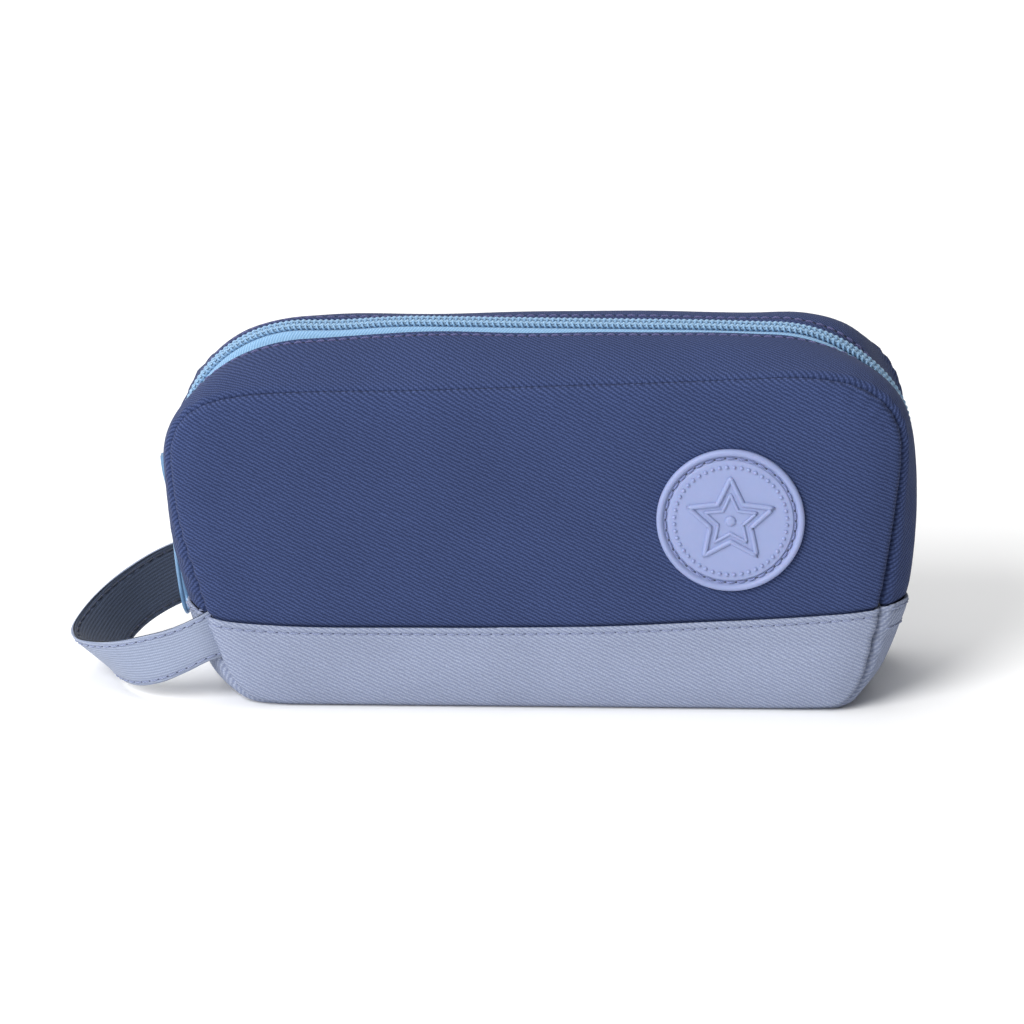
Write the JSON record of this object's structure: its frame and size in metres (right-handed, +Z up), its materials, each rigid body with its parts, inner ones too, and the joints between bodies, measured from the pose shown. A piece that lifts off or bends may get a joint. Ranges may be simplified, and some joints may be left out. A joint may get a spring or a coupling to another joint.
{
  "type": "pencil case",
  "caption": "Soft two-tone fabric pencil case with a zip over its top, a wire zip pull, a round moulded badge and a side grab handle.",
  "frame": {"origin": "centre of the flat base that the case stands on", "axes": "+X along the case to the end without the handle, -Y towards the front panel with the badge, +Z up to the zip"},
  "size_m": [0.2384, 0.0652, 0.1036],
  "materials": {
    "navy_twill": "woven cotton-look twill, padded",
    "pale_twill": "woven cotton-look twill, padded",
    "slate_webbing": "fine ribbed weave",
    "lining_cloth": "plain weave",
    "binding_tape": "plain woven tape",
    "zip_tape": "woven herringbone zip tape",
    "zip_coil": "satin nylon",
    "zip_metal": "semi-gloss lacquer",
    "spring_steel": "bare spring steel",
    "soft_pvc": "matte moulded soft PVC",
    "thread_navy": "spun polyester thread",
    "thread_pale": "spun polyester thread",
    "thread_lilac": "spun polyester thread"
  },
  "bodies": {
    "case_body": {"front_panel_band": "pale_twill", "front_band_topstitch": "thread_pale", "front_lining_lower": "lining_cloth", "back_panel_upper": "navy_twill", "back_panel_band": "pale_twill", "back_band_topstitch": "thread_pale", "back_lining": "lining_cloth", "zip_gusset_back": "navy_twill", "base_gusset": "pale_twill", "zip_gusset_lining_back": "lining_cloth", "base_lining": "lining_cloth", "gusset_joint_topstitch": "thread_pale", "seam_binding_front_lower": "binding_tape", "seam_binding_back": "binding_tape", "zip_tape_back": "zip_tape", "zip_coil_back": "zip_coil", "zip_top_stop_back": "zip_coil", "zip_topstitch_back": "thread_navy"},
    "front_lip": {"front_panel_upper": "navy_twill", "front_lining_upper": "lining_cloth", "zip_gusset_front": "navy_twill", "zip_gusset_lining_front": "lining_cloth", "seam_binding_front_upper": "binding_tape", "zip_tape_front": "zip_tape", "zip_coil_front": "zip_coil", "zip_top_stop_front": "zip_coil", "zip_topstitch_front": "thread_navy", "badge": "soft_pvc", "badge_stitching": "thread_lilac"},
    "slider": {"slider_body": "zip_metal", "slider_bridge": "zip_metal", "slider_lock_spring": "spring_steel"},
    "pull": {"pull_loop": "zip_metal"},
    "handle": {"handle_strap": "pale_twill", "handle_backing": "slate_webbing", "handle_topstitch": "thread_pale"}
  },
  "joints": [
    {"name": "mouth_open", "type": "hinge", "parent": "case_body", "child": "front_lip", "pos_m": [0, -0.0317, 0.029], "axis": [1, 0, 0], "range_deg": [0, 30], "deforming": ["zip_tape_front", "zip_coil_front"]},
    {"name": "zip_travel", "type": "hinge", "parent": "case_body", "child": "slider", "pos_m": [-0.065, 0, 0.067], "axis": [0, 1, 0], "range_deg": [0, 95]},
    {"name": "pull_swing", "type": "hinge", "parent": "slider", "child": "pull", "pos_m": [-0.10313, 0, 0.0579], "axis": [0, 1, 0], "range_deg": [0, 165]},
    {"name": "handle_swing", "type": "hinge", "parent": "case_body", "child": "handle", "pos_m": [-0.0934, 0, 0.0215], "axis": [0, 1, 0], "range_deg": [-20, 35], "stiffness_Nm_per_rad": 0.01, "springref_deg": 0.81}
  ]
}
